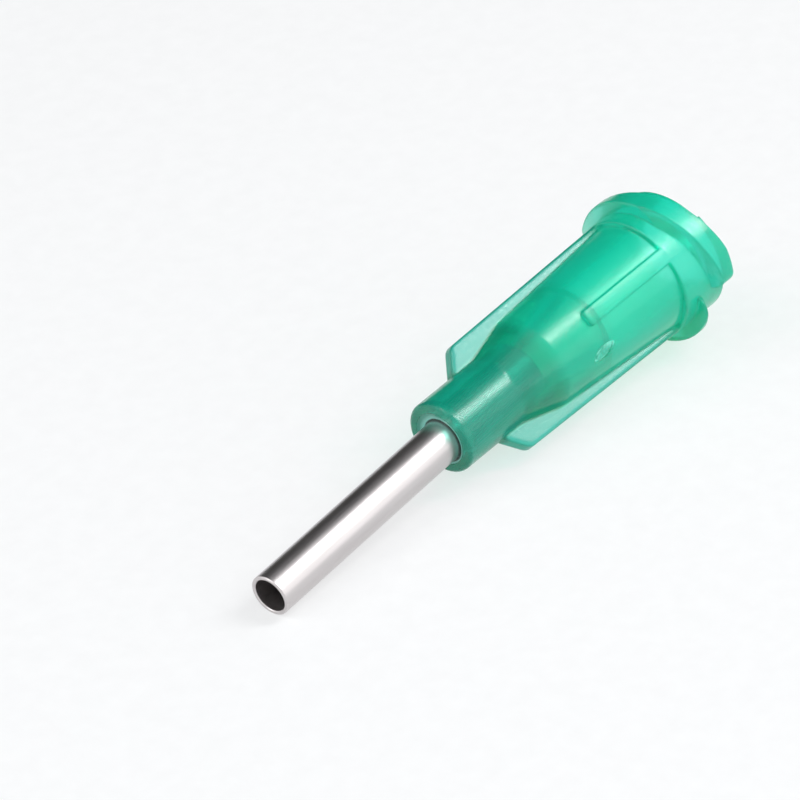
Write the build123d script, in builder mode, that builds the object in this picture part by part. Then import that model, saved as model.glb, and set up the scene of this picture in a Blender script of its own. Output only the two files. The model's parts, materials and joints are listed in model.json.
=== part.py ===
from build123d import *
from math import atan2, cos, degrees, radians
import os

# All lengths are in millimetres. The needle is drawn upright: Z is its axis, the mouth of the hub is at zero
# and the tip points up. At the end it is laid down the way it rests on a table.

# Steel tube, 14 gauge
tube_diameter = 2.108
tube_wall = 0.2
tube_showing_length = 12.7
tube_seat_length = 6.0
tube_edge_chamfer = 0.04

# The tube leans towards one wing and leaves the nose a little off its centre
tube_lean_angle = 2.2
tube_offset = 0.14

# Moulded hub, from the mouth to the nose
barrel_mouth_diameter = 6.56
barrel_length = 2.95
barrel_draft_share = 0.015
barrel_step = 0.27
barrel_step_rounding = 0.1
barrel_mouth_chamfer = 0.2
body_length = 7.95
body_front_diameter = 5.0
shoulder_length = 2.5
nose_length = 4.0
nose_diameter = 3.76
nose_edge_rounding = 0.2
shoulder_foot_rounding = 0.8

# Tapered socket for the syringe, 6 in 100 on the diameter, and the passage from it to the tube
socket_mouth_diameter = 4.3
socket_taper_share = 0.06
socket_depth = 7.5
socket_mouth_chamfer = 0.12
passage_mouth_diameter = 2.7

# Recess in the face of the nose, filled with adhesive round the tube
recess_diameter = 2.76
recess_depth = 0.7
adhesive_rim_drop = 0.04
adhesive_slope_share = 0.3

# Two wings
wing_thickness = 0.8
wing_front_half_span = 3.03
wing_rear_half_span = 3.24
wing_root_setback = 2.6
wing_buried_length = 0.3
wing_corner_setback = 3.55
wing_corner_rounding = 0.6
wing_edge_rounding = 0.18

# Two low ribs, a quarter turn from the wings
rib_height = 0.26
rib_width = 0.85
rib_front_setback = 8.8
rib_end_rounding = 0.25
rib_edge_rounding = 0.12

# Two thread lugs round the mouth, right-hand. The mouth cuts off the first part of each, and a flat face
# on the side of the tip cuts off the last part
lug_diameter = 7.8
lug_lead = 5.0
lug_crest_width = 1.05
lug_slope_share = 0.47
lug_crest_allowance = 0.2
lug_front_height = 2.17
lug_front_rounding = 0.12
lug_mouth_rounding = 0.25
lug_end_rounding = 0.6
lug_first_angle = 37
lug_span_angle = 180
lug_height_at_wing = 2.25

# Small oval gate mark on one face of the body
gate_length = 1.35
gate_width = 0.62
gate_line = 0.15
gate_depth = 0.07
gate_height = 8.4
gate_angle = 50
gate_turn_angle = 13

# How far the nearer wing is turned from straight down when the needle lies on a table
rest_roll_angle = 47

tube_radius = tube_diameter / 2
tube_bore_radius = tube_radius - tube_wall
tube_length = tube_seat_length + tube_showing_length
barrel_mouth_radius = barrel_mouth_diameter / 2
barrel_front_radius = barrel_mouth_radius - barrel_draft_share * barrel_length
body_rear_radius = barrel_front_radius - barrel_step
body_front_radius = body_front_diameter / 2
body_slope_share = (body_rear_radius - body_front_radius) / body_length
body_front_height = barrel_length + body_length
shoulder_front_height = body_front_height + shoulder_length
hub_length = shoulder_front_height + nose_length
nose_radius = nose_diameter / 2
tube_rear_height = hub_length - tube_seat_length
socket_mouth_radius = socket_mouth_diameter / 2
socket_end_radius = socket_mouth_radius - socket_taper_share * socket_depth / 2
passage_mouth_radius = passage_mouth_diameter / 2
recess_radius = recess_diameter / 2
recess_floor_height = hub_length - recess_depth
adhesive_top_height = hub_length - adhesive_rim_drop
adhesive_slope_depth = adhesive_slope_share * recess_radius
wing_root_height = hub_length - wing_root_setback
wing_corner_height = hub_length - wing_corner_setback
wing_rear_height = lug_front_height - wing_buried_length
rib_front_height = hub_length - rib_front_setback
lug_radius = lug_diameter / 2
lug_height = lug_radius - barrel_mouth_radius
lug_foot_width = lug_crest_width + 2 * lug_slope_share * (lug_height + barrel_step)
lug_top_width = lug_crest_width - 2 * lug_slope_share * lug_crest_allowance
lug_overrun_angle = lug_span_angle / 6
lug_path_turns = (lug_span_angle + 2 * lug_overrun_angle) / 360
lug_path_start_angle = lug_first_angle - lug_overrun_angle
lug_path_start_height = lug_height_at_wing - lug_lead * (180 - lug_path_start_angle) / 360


def body_radius_at(height):
    return body_rear_radius - body_slope_share * (height - barrel_length)


# The tube's own frame, its origin where the tube leaves the nose
tube_plane = Plane((tube_offset, 0, hub_length), x_dir=(1, 0, 0), z_dir=(0, 0, 1)).rotated((0, tube_lean_angle, 0))

# Helical ridge for a thread lug, a little higher than the lug, its path starting on the X axis
with BuildPart() as lug_ridge:
    with BuildLine() as lug_path:
        Helix(pitch=lug_lead, height=lug_lead * lug_path_turns, radius=barrel_mouth_radius)
    with BuildSketch(Plane(origin=lug_path.line @ 0, x_dir=(1, 0, 0), z_dir=lug_path.line % 0)):
        with BuildLine():
            Polyline((-barrel_step, -lug_foot_width / 2), (lug_height + lug_crest_allowance, -lug_top_width / 2),
                     (lug_height + lug_crest_allowance, lug_top_width / 2), (-barrel_step, lug_foot_width / 2),
                     close=True)
        make_face()
    sweep(is_frenet=True)

# The space one lug may fill: from the mouth to the flat front face, out to the crest, with rounded edges
with BuildPart() as lug_space:
    with BuildSketch() as lug_sector:
        with BuildLine():
            sector_arc = CenterArc((0, 0), lug_radius, lug_first_angle, lug_span_angle)
            Polyline(sector_arc @ 1, (0, 0), sector_arc @ 0)
        make_face()
        fillet([lug_sector.vertices().sort_by_distance(sector_arc @ 0)[0],
                lug_sector.vertices().sort_by_distance(sector_arc @ 1)[0]], radius=lug_end_rounding)
    extrude(amount=lug_front_height)
    fillet(lug_space.faces().sort_by(Axis.Z)[0].edges(), radius=lug_mouth_rounding)
    fillet(lug_space.faces().sort_by(Axis.Z)[-1].edges(), radius=lug_front_rounding)

with BuildPart() as lug:
    with Locations(Location((0, 0, lug_path_start_height), (0, 0, lug_path_start_angle))):
        add(lug_ridge.part)
    add(lug_space.part, mode=Mode.INTERSECT)

# Both wings as one plate; its lower end lies inside the lugs
with BuildPart() as wings:
    wing_corner = (wing_front_half_span, wing_corner_height)
    with BuildSketch(Plane.XZ) as wing_outline:
        with BuildLine():
            Polyline((0, wing_rear_height), (wing_rear_half_span, wing_rear_height), wing_corner,
                     (nose_radius, wing_root_height), (0, wing_root_height), close=True)
        make_face()
        fillet(wing_outline.vertices().sort_by_distance(wing_corner)[0], radius=wing_corner_rounding)
        mirror(about=Plane.YZ)
    extrude(amount=wing_thickness / 2, both=True)
    wing_outer_edges = wings.faces().filter_by(Axis.Y).edges()
    fillet(wing_outer_edges.filter_by(lambda edge: edge.center().Z > wing_rear_height), radius=wing_edge_rounding)

# One low rib, on the side of the Y axis
with BuildPart() as rib:
    with BuildSketch(Plane.XZ) as rib_outline:
        Rectangle(rib_width, rib_front_height, align=(Align.CENTER, Align.MIN))
        fillet(rib_outline.vertices().group_by(Axis.Y)[-1], radius=rib_end_rounding)
    extrude(amount=-lug_radius)
    with BuildSketch(Plane.XZ):
        with BuildLine():
            Polyline((0, 0), (body_radius_at(0) + rib_height, 0),
                     (body_radius_at(rib_front_height) + rib_height, rib_front_height), (0, rib_front_height),
                     close=True)
        make_face()
    revolve(axis=Axis.Z, mode=Mode.INTERSECT)
    fillet(rib.faces().sort_by(Axis.Y)[-1].edges(), radius=rib_edge_rounding)

with BuildPart() as hub:
    mouth_edge = (barrel_mouth_radius, 0)
    barrel_edge = (barrel_front_radius, barrel_length)
    shoulder_foot = (nose_radius, shoulder_front_height)
    nose_edge = (nose_radius, hub_length)
    with BuildSketch(Plane.XZ) as hub_section:
        with BuildLine():
            Polyline((0, 0), mouth_edge, barrel_edge, (body_rear_radius, barrel_length),
                     (body_front_radius, body_front_height), shoulder_foot, nose_edge, (0, hub_length), close=True)
        make_face()
        chamfer(hub_section.vertices().sort_by_distance(mouth_edge)[0], length=barrel_mouth_chamfer)
        fillet(hub_section.vertices().sort_by_distance(barrel_edge)[0], radius=barrel_step_rounding)
        fillet(hub_section.vertices().sort_by_distance(shoulder_foot)[0], radius=shoulder_foot_rounding)
        fillet(hub_section.vertices().sort_by_distance(nose_edge)[0], radius=nose_edge_rounding)
    revolve(axis=Axis.Z)
    add(wings.part)
    with PolarLocations(0, 2):
        add(rib.part)
    with PolarLocations(0, 2):
        add(lug.part)
    with BuildSketch(Plane.XZ):
        with BuildLine():
            Polyline((0, 0), (socket_mouth_radius + socket_mouth_chamfer, 0),
                     (socket_mouth_radius - socket_taper_share * socket_mouth_chamfer / 2, socket_mouth_chamfer),
                     (socket_end_radius, socket_depth), (passage_mouth_radius, socket_depth),
                     (tube_bore_radius, tube_rear_height), (0, tube_rear_height), close=True)
        make_face()
    revolve(axis=Axis.Z, mode=Mode.SUBTRACT)
    with BuildSketch(Plane.XY.offset(hub_length)):
        Circle(recess_radius)
    extrude(amount=-recess_depth, mode=Mode.SUBTRACT)
    with BuildSketch(tube_plane):
        Circle(tube_radius)
    extrude(amount=-tube_seat_length, mode=Mode.SUBTRACT)
    gate_spot = Vector(body_radius_at(gate_height), 0, gate_height).rotate(Axis.Z, gate_angle)
    gate_outward = Vector(1, 0, body_slope_share).rotate(Axis.Z, gate_angle)
    with BuildSketch(Plane(gate_spot, x_dir=(0, 0, 1), z_dir=gate_outward)):
        Ellipse(gate_length / 2, gate_width / 2, rotation=gate_turn_angle)
        Ellipse(gate_length / 2 - gate_line, gate_width / 2 - gate_line, rotation=gate_turn_angle, mode=Mode.SUBTRACT)
    extrude(amount=gate_depth, both=True, mode=Mode.SUBTRACT)

with BuildPart() as needle_tube:
    with BuildSketch(tube_plane.offset(-tube_seat_length)):
        Circle(tube_radius)
        Circle(tube_bore_radius, mode=Mode.SUBTRACT)
    extrude(amount=tube_length)
    chamfer(needle_tube.faces().sort_by(Axis.Z)[-1].edges(), length=tube_edge_chamfer)

# The recess filled to just under its rim, less the tube, the top sloping down to the tube
with BuildPart() as adhesive_ring:
    with BuildSketch(Plane.XY.offset(recess_floor_height)):
        Circle(recess_radius)
    extrude(amount=recess_depth - adhesive_rim_drop)
    with BuildSketch(tube_plane.offset(-tube_seat_length)):
        Circle(tube_radius)
    extrude(amount=tube_length, mode=Mode.SUBTRACT)
    with BuildSketch(Plane.XZ):
        with BuildLine():
            Polyline((0, adhesive_top_height), (recess_radius, adhesive_top_height),
                     (0, adhesive_top_height - adhesive_slope_depth), close=True)
        make_face()
    revolve(axis=Axis.Z, mode=Mode.SUBTRACT)

# Laid on a table the needle touches it with the edge of the tip and with the crest of one lug
lug_touch_turn = (180 - rest_roll_angle - lug_path_start_angle) / 360
lug_touch_height = lug_path_start_height + lug_lead * lug_touch_turn + lug_crest_width / 2
tip_centre = tube_plane.from_local_coords(Vector(0, 0, tube_showing_length - tube_edge_chamfer))
tip_reach = tube_radius + tip_centre.X * cos(radians(rest_roll_angle))
rest_tilt_angle = degrees(atan2(lug_radius - tip_reach, tip_centre.Z - lug_touch_height))
turned = Rot(0, 90 + rest_tilt_angle, 0) * Rot(0, 0, rest_roll_angle)
footprint = (turned * (hub.part + needle_tube.part)).bounding_box()
laid_down = Pos(-footprint.center().X, -footprint.center().Y, -footprint.min.Z) * turned

os.makedirs("parts", exist_ok=True)
hub.part = laid_down * hub.part
needle_tube.part = laid_down * needle_tube.part
adhesive_ring.part = laid_down * adhesive_ring.part
hub.part.label = "hub"
needle_tube.part.label = "needle_tube"
adhesive_ring.part.label = "adhesive_ring"
export_step(hub.part, "parts/hub.step")
export_step(needle_tube.part, "parts/needle_tube.step")
export_step(adhesive_ring.part, "parts/adhesive_ring.step")
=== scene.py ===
import json
import math

import bpy
from mathutils import Matrix, Vector

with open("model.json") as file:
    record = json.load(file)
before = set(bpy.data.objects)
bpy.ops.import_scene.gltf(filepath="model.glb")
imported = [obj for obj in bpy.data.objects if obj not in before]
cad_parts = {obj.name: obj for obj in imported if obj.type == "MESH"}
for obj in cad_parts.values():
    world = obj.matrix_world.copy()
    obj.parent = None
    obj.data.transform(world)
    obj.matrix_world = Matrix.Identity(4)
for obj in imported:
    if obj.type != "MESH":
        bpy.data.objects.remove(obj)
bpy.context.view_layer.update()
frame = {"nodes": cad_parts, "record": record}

# The needle's own directions and the middle of the nose's face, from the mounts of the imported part. The tube
# leans towards the lower wing, so what its direction has across the hub points to that wing.
HUB_LENGTH = 0.0174
mounts = {mount["name"]: mount for mount in frame["record"]["mounts"]}
along = -Vector(mounts["syringe_socket"]["axis"]).normalized()
tube_along = Vector(mounts["blunt_tip"]["axis"]).normalized()
to_wing = (tube_along - along * tube_along.dot(along)).normalized()
to_rib = along.cross(to_wing)
tube_across = (to_wing - tube_along * to_wing.dot(tube_along)).normalized()
nose_centre = Vector(mounts["syringe_socket"]["pos_m"]) + along * HUB_LENGTH

# Places that the materials go by, in millimetres. Heights run along the hub from the nose's face to the tip,
# so those on the hub are below zero. The core is the round hub that the wings stand on, given at the front
# of the body and at the nose. Its radii and the wings' half thickness are a little more than the CAD's.
MILLIMETRES_PER_METRE = 1000
MOUTH_HEIGHT = -HUB_LENGTH * MILLIMETRES_PER_METRE
BODY_FRONT_HEIGHT = -6.5
SHOULDER_FRONT_HEIGHT = -4.0
WING_REAR_HEIGHT = -14.4
WING_HALF_THICKNESS = 0.43
CORE_RADIUS_AT_BODY = 2.56
CORE_RADIUS_AT_NOSE = 1.98
GATE_HEIGHT = -9.05
GATE_HALF_LENGTH = 0.6
GATE_HALF_WIDTH = 0.235
GATE_ANGLE = math.radians(50)
GATE_TURN = math.radians(13)
GATE_LEAST_RADIUS = 2.0
TUBE_OFFSET = 0.14
TUBE_HIDDEN_HEIGHT = -0.5
GLUE_SHADE_START_RADIUS = 1.0

# Noise stays mostly between these two values.
NOISE_RANGE = (0.3, 0.7)
NOISE_ROUGHNESS = 0.55


def colour(value):
    """A colour with its alpha, from a grey level or from red, green and blue; a socket stays as it is."""
    if isinstance(value, bpy.types.NodeSocket):
        return value
    if isinstance(value, (int, float)):
        return (value, value, value, 1)
    return (*value, 1)


class Nodes:
    """The node tree of a material or of the world, with short calls for the nodes used here."""

    def __init__(self, owner, output_kind="ShaderNodeOutputMaterial"):
        self.owner = owner
        owner.use_nodes = True
        self.tree = owner.node_tree
        self.tree.nodes.clear()
        self.output = self.tree.nodes.new(output_kind)

    def put(self, socket, value):
        if isinstance(value, bpy.types.NodeSocket):
            self.tree.links.new(value, socket)
        else:
            socket.default_value = value

    def node(self, kind, inputs=None, **settings):
        made = self.tree.nodes.new(kind)
        for key, value in settings.items():
            setattr(made, key, value)
        for key, value in (inputs or {}).items():
            self.put(made.inputs[key], value)
        return made

    def surface(self, shader):
        self.put(self.output.inputs["Surface"], shader)

    def math(self, operation, first, second=0.5):
        return self.node("ShaderNodeMath", {0: first, 1: second}, operation=operation).outputs[0]

    def vector_math(self, operation, first, second=(0, 0, 0), output="Vector"):
        return self.node("ShaderNodeVectorMath", {0: first, 1: second}, operation=operation).outputs[output]

    def part_along(self, vector, direction):
        return self.vector_math("DOT_PRODUCT", vector, tuple(direction), output="Value")

    def object_place(self):
        return self.node("ShaderNodeTexCoord").outputs["Object"]

    def place_on_needle(self, directions):
        """Millimetres along three directions from the middle of the nose's face."""
        moved = self.vector_math("SUBTRACT", self.object_place(), tuple(nose_centre))
        parts = [self.part_along(moved, direction * MILLIMETRES_PER_METRE) for direction in directions]
        return self.node("ShaderNodeCombineXYZ", dict(enumerate(parts))).outputs[0]

    def split(self, vector):
        return self.node("ShaderNodeSeparateXYZ", {0: vector}).outputs

    def stretched(self, vector, scale):
        return self.node("ShaderNodeMapping", {"Vector": vector, "Scale": scale}).outputs[0]

    def noise(self, vector, scale, detail):
        inputs = {"Vector": vector, "Scale": scale, "Detail": detail, "Roughness": NOISE_ROUGHNESS}
        return self.node("ShaderNodeTexNoise", inputs).outputs["Fac"]

    def ranged(self, value, given, wanted):
        """A value carried over from the given range to the wanted one and held at its ends."""
        inputs = {
            "Value": value,
            "From Min": given[0],
            "From Max": given[1],
            "To Min": wanted[0],
            "To Max": wanted[1],
        }
        return self.node("ShaderNodeMapRange", inputs).outputs[0]

    def ramp(self, factor, stops):
        made = self.node("ShaderNodeValToRGB", {"Fac": factor})
        elements = made.color_ramp.elements
        for element, (position, tone) in zip(elements, (stops[0], stops[-1])):
            element.position = position
            element.color = colour(tone)
        for position, tone in stops[1:-1]:
            elements.new(position).color = colour(tone)
        return made.outputs["Color"]

    def mix(self, factor, first, second):
        inputs = {"Factor": factor, "A": colour(first), "B": colour(second)}
        return self.node("ShaderNodeMix", inputs, data_type="RGBA").outputs["Result"]

    def mix_shaders(self, factor, first, second):
        return self.node("ShaderNodeMixShader", {0: factor, 1: first, 2: second}).outputs[0]

    def bump(self, height, distance, strength, **more):
        inputs = {"Height": height, "Distance": distance, "Strength": strength, **more}
        return self.node("ShaderNodeBump", inputs).outputs[0]

    def principled(self, inputs):
        return self.node("ShaderNodeBsdfPrincipled", inputs).outputs[0]

    def diffuse(self, tone):
        return self.node("ShaderNodeBsdfDiffuse", {"Color": tone}).outputs[0]

    def seen_ray(self):
        """One for a ray that shows what it meets, straight, through the plastic or in a reflection."""
        path = self.node("ShaderNodeLightPath").outputs
        seen = self.math("MAXIMUM", path["Is Camera Ray"], path["Is Transmission Ray"])
        return self.math("MAXIMUM", seen, path["Is Glossy Ray"])


def give(node, material):
    for slot in frame["nodes"][node].material_slots:
        slot.material = material


def wing_mask(nodes, across, beside, height):
    """One on the wings, zero on the round core between them and on the lugs."""
    core = nodes.ranged(
        height,
        (BODY_FRONT_HEIGHT, SHOULDER_FRONT_HEIGHT),
        (CORE_RADIUS_AT_BODY, CORE_RADIUS_AT_NOSE),
    )
    past_core = nodes.math("GREATER_THAN", nodes.math("ABSOLUTE", across), core)
    in_wing_plane = nodes.math("LESS_THAN", nodes.math("ABSOLUTE", beside), WING_HALF_THICKNESS)
    ahead_of_lugs = nodes.math("GREATER_THAN", height, WING_REAR_HEIGHT)
    return nodes.math("MULTIPLY", nodes.math("MULTIPLY", past_core, in_wing_plane), ahead_of_lugs)


def gate_highlight_mask(nodes, place, height):
    """Where the painted highlight goes: one along the line of the oval gate mark, about half inside it, zero
    outside it, fainter in places.
    """
    outward = nodes.part_along(place, (math.cos(GATE_ANGLE), math.sin(GATE_ANGLE), 0))
    sideways = nodes.part_along(place, (-math.sin(GATE_ANGLE), math.cos(GATE_ANGLE), 0))
    lengthways = nodes.math("SUBTRACT", height, GATE_HEIGHT)
    long_part = nodes.math(
        "SUBTRACT",
        nodes.math("MULTIPLY", lengthways, math.cos(GATE_TURN) / GATE_HALF_LENGTH),
        nodes.math("MULTIPLY", sideways, math.sin(GATE_TURN) / GATE_HALF_LENGTH),
    )
    wide_part = nodes.math(
        "ADD",
        nodes.math("MULTIPLY", lengthways, math.sin(GATE_TURN) / GATE_HALF_WIDTH),
        nodes.math("MULTIPLY", sideways, math.cos(GATE_TURN) / GATE_HALF_WIDTH),
    )
    squares = [nodes.math("POWER", part, 2.0) for part in (long_part, wide_part)]
    spread = nodes.math("SQRT", nodes.math("ADD", *squares))
    # The spread is one on the oval's line, and half of it goes into the ramp.
    line_stops = [(0.3, 0.45), (0.42, 1.0), (0.54, 1.0), (0.64, 0.0)]
    line = nodes.ramp(nodes.math("MULTIPLY", spread, 0.5), line_stops)
    near_side = nodes.math("GREATER_THAN", outward, GATE_LEAST_RADIUS)
    gaps = nodes.ramp(nodes.noise(place, scale=3.0, detail=2.0), [(0.4, 0.3), (0.58, 1.0)])
    return nodes.math("MULTIPLY", nodes.math("MULTIPLY", line, near_side), gaps)


def hub_tone(nodes, place, height, on_wing, gate_rim_highlight):
    """The milky tone: pale round the hollow socket, with painted shade deeper where the hub is solid, a darker
    painted-shade tone on the wings and a painted highlight on the gate mark's rim.
    """
    pale = (0.013, 0.74, 0.52)
    # The middle and deep tones are painted shade: the hub is darker where it is solid.
    middle = (0.010, 0.66, 0.46)
    deep_painted_shade = (0.007, 0.39, 0.27)
    # The wing tone is a darker copy of the plastic's tone, painted shade on the wings.
    wing = (0.013, 0.46, 0.35)
    # A painted highlight along the gate mark's rim.
    painted_highlight_line = (0.3, 0.9, 0.76)
    cloud = (0.03, 0.74, 0.52)
    # The stops are shares of the hub's length from the mouth: the socket ends at 0.43 and the body at 0.63.
    from_mouth = nodes.ranged(height, (MOUTH_HEIGHT, 0.0), (0.0, 1.0))
    stops = [(0.0, pale), (0.42, pale), (0.45, middle), (0.62, middle), (0.66, deep_painted_shade), (1.0, deep_painted_shade)]
    tone = nodes.ramp(from_mouth, stops)
    tone = nodes.mix(on_wing, tone, wing)
    tone = nodes.mix(gate_rim_highlight, tone, painted_highlight_line)
    cloudy = nodes.ramp(nodes.noise(place, scale=0.7, detail=2.0), [(0.35, 0.0), (0.65, 0.14)])
    return nodes.mix(cloudy, tone, cloud)


def hub_plastic():
    """Translucent green plastic. Part of the light passes, coloured by how much plastic it crosses, so the
    thin wings are pale and the nose round the tube is dark.
    The rest is scattered just under the surface, in a tone with painted shade and a painted highlight; on the
    wings a painted-shade tint darkens the light passing through."""
    wing_painted_shade_tint = (0.7, 0.64, 0.68)
    shadow_tint = (0.75, 0.9, 0.85)
    depth_colour = (0.0, 0.92, 0.835)
    milky_share = (0.42, 0.8)
    nodes = Nodes(bpy.data.materials.new("hub_plastic"))
    place = nodes.place_on_needle((to_wing, to_rib, along))
    parts = nodes.split(place)
    on_wing = wing_mask(nodes, parts["X"], parts["Y"], parts["Z"])
    gate_rim_highlight = gate_highlight_mask(nodes, place, parts["Z"])
    # The moulded surface, with soft edges and long shallow flow marks.
    grain = nodes.noise(place, scale=5.0, detail=1.0)
    flow = nodes.noise(nodes.stretched(place, (2.0, 2.0, 0.35)), scale=1.4, detail=1.0)
    relief = nodes.math("ADD", nodes.math("MULTIPLY", flow, 0.85), nodes.math("MULTIPLY", grain, 0.04))
    soft_edges = nodes.node("ShaderNodeBevel", {"Radius": 0.00012}, samples=4).outputs[0]
    normal = nodes.bump(relief, distance=0.00003, strength=0.25, Normal=soft_edges)
    roughness = nodes.ranged(grain, NOISE_RANGE, (0.18, 0.25))
    clear = nodes.principled(
        {
            # On the wings the light passing through is darkened by a painted-shade tint.
            "Base Color": nodes.mix(on_wing, 1.0, wing_painted_shade_tint),
            "Roughness": roughness,
            "IOR": 1.45,
            "Transmission Weight": 1.0,
            "Normal": normal,
        }
    )
    milky = nodes.principled(
        {
            "Base Color": hub_tone(nodes, place, parts["Z"], on_wing, gate_rim_highlight),
            "Roughness": roughness,
            "IOR": 1.49,
            "Normal": normal,
        }
    )
    # Along the painted highlight on the gate mark's rim the plastic is also more milky.
    plastic = nodes.mix_shaders(nodes.ranged(gate_rim_highlight, (0.0, 1.0), milky_share), clear, milky)
    see_through = nodes.node("ShaderNodeBsdfTransparent", {"Color": colour(shadow_tint)}).outputs[0]
    shadow_ray = nodes.node("ShaderNodeLightPath").outputs["Is Shadow Ray"]
    nodes.surface(nodes.mix_shaders(shadow_ray, plastic, see_through))
    depth = nodes.node("ShaderNodeVolumeAbsorption", {"Color": colour(depth_colour), "Density": 1700.0})
    nodes.put(nodes.output.inputs["Volume"], depth.outputs[0])
    return nodes.owner


def tube_steel():
    """Drawn stainless steel, smooth, with faint marks along it. Inside the hub it is duller, and its darker
    grey there is painted shade.
    """
    painted_shade_grey = 0.25
    hidden_extra_roughness = 0.25
    nodes = Nodes(bpy.data.materials.new("tube_steel"))
    place = nodes.place_on_needle((tube_across, tube_along.cross(tube_across), tube_along))
    hidden = nodes.math("LESS_THAN", nodes.split(place)["Z"], TUBE_HIDDEN_HEIGHT)
    marks = nodes.noise(nodes.stretched(place, (14.0, 14.0, 0.3)), scale=2.0, detail=4.0)
    broad = nodes.noise(nodes.stretched(place, (1.2, 1.2, 0.1)), scale=1.3, detail=2.0)
    steel = nodes.ramp(broad, [(0.3, (0.58, 0.55, 0.55)), (0.7, (0.65, 0.62, 0.62))])
    extra_roughness = nodes.math("MULTIPLY", hidden, hidden_extra_roughness)
    shown_marks = nodes.math("MULTIPLY", marks, nodes.math("SUBTRACT", 1.0, hidden))
    drawn = nodes.principled(
        {
            # Inside the hub the darker grey is painted shade.
            "Base Color": nodes.mix(hidden, steel, painted_shade_grey),
            "Metallic": 1.0,
            "Roughness": nodes.math("ADD", nodes.ranged(marks, NOISE_RANGE, (0.29, 0.38)), extra_roughness),
            "Normal": nodes.bump(shown_marks, distance=0.000006, strength=0.3),
        }
    )
    nodes.surface(drawn)
    return nodes.owner


def adhesive():
    """A glossy ring with the green of the plastic round it. Painted shade makes it dark where it meets the
    tube, and darker again towards the recess wall.
    """
    painted_shade_at_tube = (0.01, 0.06, 0.045)
    bright = (0.2, 0.6, 0.5)
    middle = (0.16, 0.5, 0.4)
    painted_shade_at_wall = (0.05, 0.3, 0.22)
    nodes = Nodes(bpy.data.materials.new("adhesive"))
    place = nodes.place_on_needle((to_wing, to_rib, along))
    ripple = nodes.noise(place, scale=2.0, detail=2.0)
    from_tube_axis = nodes.vector_math("SUBTRACT", place, (TUBE_OFFSET, 0, 0))
    radius = nodes.vector_math("LENGTH", nodes.stretched(from_tube_axis, (1.0, 1.0, 0.0)), output="Value")
    uneven_radius = nodes.math("ADD", radius, nodes.math("MULTIPLY", ripple, 0.06))
    outward = nodes.math("SUBTRACT", uneven_radius, GLUE_SHADE_START_RADIUS)
    # Painted shade: dark at the tube, the glue's own tone in a band, then darker towards the recess wall.
    shade_stops = [(0.16, painted_shade_at_tube), (0.21, bright), (0.3, middle), (0.42, painted_shade_at_wall)]
    glossy = nodes.principled(
        {
            "Base Color": nodes.ramp(outward, shade_stops),
            "Roughness": nodes.ranged(ripple, NOISE_RANGE, (0.08, 0.18)),
            "IOR": 1.5,
            "Normal": nodes.bump(ripple, distance=0.00004, strength=0.4),
        }
    )
    nodes.surface(glossy)
    return nodes.owner


def floor_paper():
    """Pale paper. It lights the needle as paper does, and where it is seen it glows nearly white under the
    needle's shadow."""
    nodes = Nodes(bpy.data.materials.new("floor_paper"))
    fibres = nodes.noise(nodes.object_place(), scale=900.0, detail=3.0)
    matt = nodes.diffuse(nodes.ramp(fibres, [(0.3, 0.86), (0.7, 0.88)]))
    dim = nodes.diffuse(nodes.ramp(fibres, [(0.3, 0.29), (0.7, 0.31)]))
    glow = nodes.node("ShaderNodeEmission", {"Color": colour(1.0), "Strength": 0.63}).outputs[0]
    shown = nodes.node("ShaderNodeAddShader", {0: dim, 1: glow}).outputs[0]
    nodes.surface(nodes.mix_shaders(nodes.seen_ray(), matt, shown))
    return nodes.owner


def card_board():
    """Matt board, nearly black in its lower half and fading to grey at the top."""
    share_per_metre = 3.85
    blotches = 0.04
    nodes = Nodes(bpy.data.materials.new("card_board"))
    place = nodes.object_place()
    raised = nodes.math("MULTIPLY", nodes.split(place)["Z"], share_per_metre)
    uneven = nodes.math("MULTIPLY", nodes.noise(place, scale=300.0, detail=2.0), blotches)
    shade = nodes.ramp(nodes.math("ADD", raised, uneven), [(0.55, 0.03), (1.0, 0.25)])
    nodes.surface(nodes.diffuse(shade))
    return nodes.owner


def flat_sheet(name, corners, material):
    mesh = bpy.data.meshes.new(name)
    mesh.from_pydata(corners, [], [(0, 1, 2, 3)])
    mesh.materials.append(material)
    sheet = bpy.data.objects.new(name, mesh)
    bpy.context.scene.collection.objects.link(sheet)
    return sheet


def soft_box(name, azimuth, elevation, width, height, power):
    """A rectangular lamp that faces the origin, in degrees round from -Y and up from the floor."""
    distance = 0.30
    lamp = bpy.data.lights.new(name, "AREA")
    lamp.shape = "RECTANGLE"
    lamp.size = width
    lamp.size_y = height
    lamp.energy = power
    round_by = math.radians(azimuth)
    up_by = math.radians(elevation)
    level = math.cos(up_by)
    back = Vector((math.sin(round_by) * level, -math.cos(round_by) * level, math.sin(up_by)))
    holder = bpy.data.objects.new(name, lamp)
    holder.location = back * distance
    holder.rotation_mode = "QUATERNION"
    holder.rotation_quaternion = back.to_track_quat("Z", "Y")
    bpy.context.scene.collection.objects.link(holder)


def studio_world():
    """A room that lights from all sides and is itself seen white."""
    world = bpy.data.worlds.new("studio")
    bpy.context.scene.world = world
    nodes = Nodes(world, "ShaderNodeOutputWorld")
    room = nodes.node("ShaderNodeBackground", {"Color": (0.9, 0.95, 1.0, 1), "Strength": 0.9}).outputs[0]
    white = nodes.node("ShaderNodeBackground", {"Color": colour(1.0), "Strength": 1.0}).outputs[0]
    nodes.surface(nodes.mix_shaders(nodes.seen_ray(), room, white))


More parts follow.
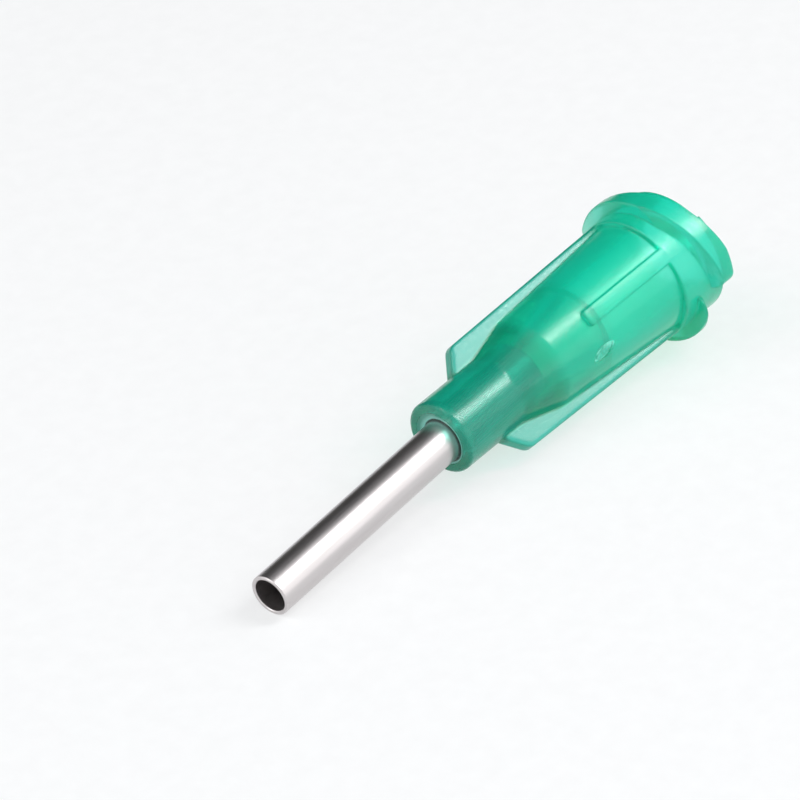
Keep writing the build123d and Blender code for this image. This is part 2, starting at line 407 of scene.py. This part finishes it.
def photo_camera():
    """The camera of the photo, fitted to its outlines, from the hub's own directions as seen in its view."""
    photo_pixels = 800
    focal_pixels = 6954.2
    nose_in_view = Vector((0.0018377, -0.0018140, -0.32312))
    along_in_view = Vector((-0.64319, -0.52036, 0.56172))
    wing_in_view = Vector((0.63074, -0.77600, 0.00329))
    rib_in_view = Vector((0.43421, 0.35643, 0.82730))
    right, up, back = (
        (along * along_in_view[i] + to_wing * wing_in_view[i] + to_rib * rib_in_view[i]).normalized()
        for i in range(3)
    )
    turn = Matrix((right, up, back)).transposed()
    lens = bpy.data.cameras.new("camera")
    lens.sensor_width = 36
    lens.lens = focal_pixels / photo_pixels * lens.sensor_width
    lens.clip_start = 0.01
    lens.clip_end = 10
    camera = bpy.data.objects.new("camera", lens)
    camera.location = nose_centre - turn @ nose_in_view
    camera.rotation_mode = "QUATERNION"
    camera.rotation_quaternion = turn.to_quaternion()
    bpy.context.scene.collection.objects.link(camera)
    return camera


give("hub", hub_plastic())
give("needle_tube", tube_steel())
give("adhesive_ring", adhesive())

# Floor: a wide pale sheet that takes the needle's soft shadow.
floor_half = 0.6
floor_corners = [
    (-floor_half, -floor_half, 0),
    (floor_half, -floor_half, 0),
    (floor_half, floor_half, 0),
    (-floor_half, floor_half, 0),
]
floor = flat_sheet("floor", floor_corners, floor_paper())

# A dark card behind the needle, beyond the upper edge of the picture, leans over towards it. The steel takes
# its dark edge from it.
card_distance = 0.15
card_half_width = 0.15
card_height = 0.26
card_lean_share = 0.6
card_back = Vector((-0.56, -0.83, 0)).normalized()
card_side = Vector((0, 0, 1)).cross(card_back) * card_half_width
card_foot = card_back * card_distance
card_rise = Vector((0, 0, card_height)) - card_foot * card_lean_share
foot_corners = [card_foot - card_side, card_foot + card_side]
top_corners = [foot_corners[1] + card_rise, foot_corners[0] + card_rise]
card = flat_sheet("dark_card", foot_corners + top_corners, card_board())

# Light: a narrow soft box high on the right of the view, a wide one on its left and a weak low one on its
# right, in a room that lights from all sides.
soft_box("soft_box_top", azimuth=230, elevation=50, width=0.055, height=0.20, power=0.40)
soft_box("soft_box_side", azimuth=60, elevation=45, width=0.16, height=0.16, power=0.23)
soft_box("soft_box_low", azimuth=195, elevation=16, width=0.25, height=0.12, power=0.07)
studio_world()

bpy.context.scene.camera = photo_camera()
bpy.context.scene.view_settings.view_transform = "Standard"
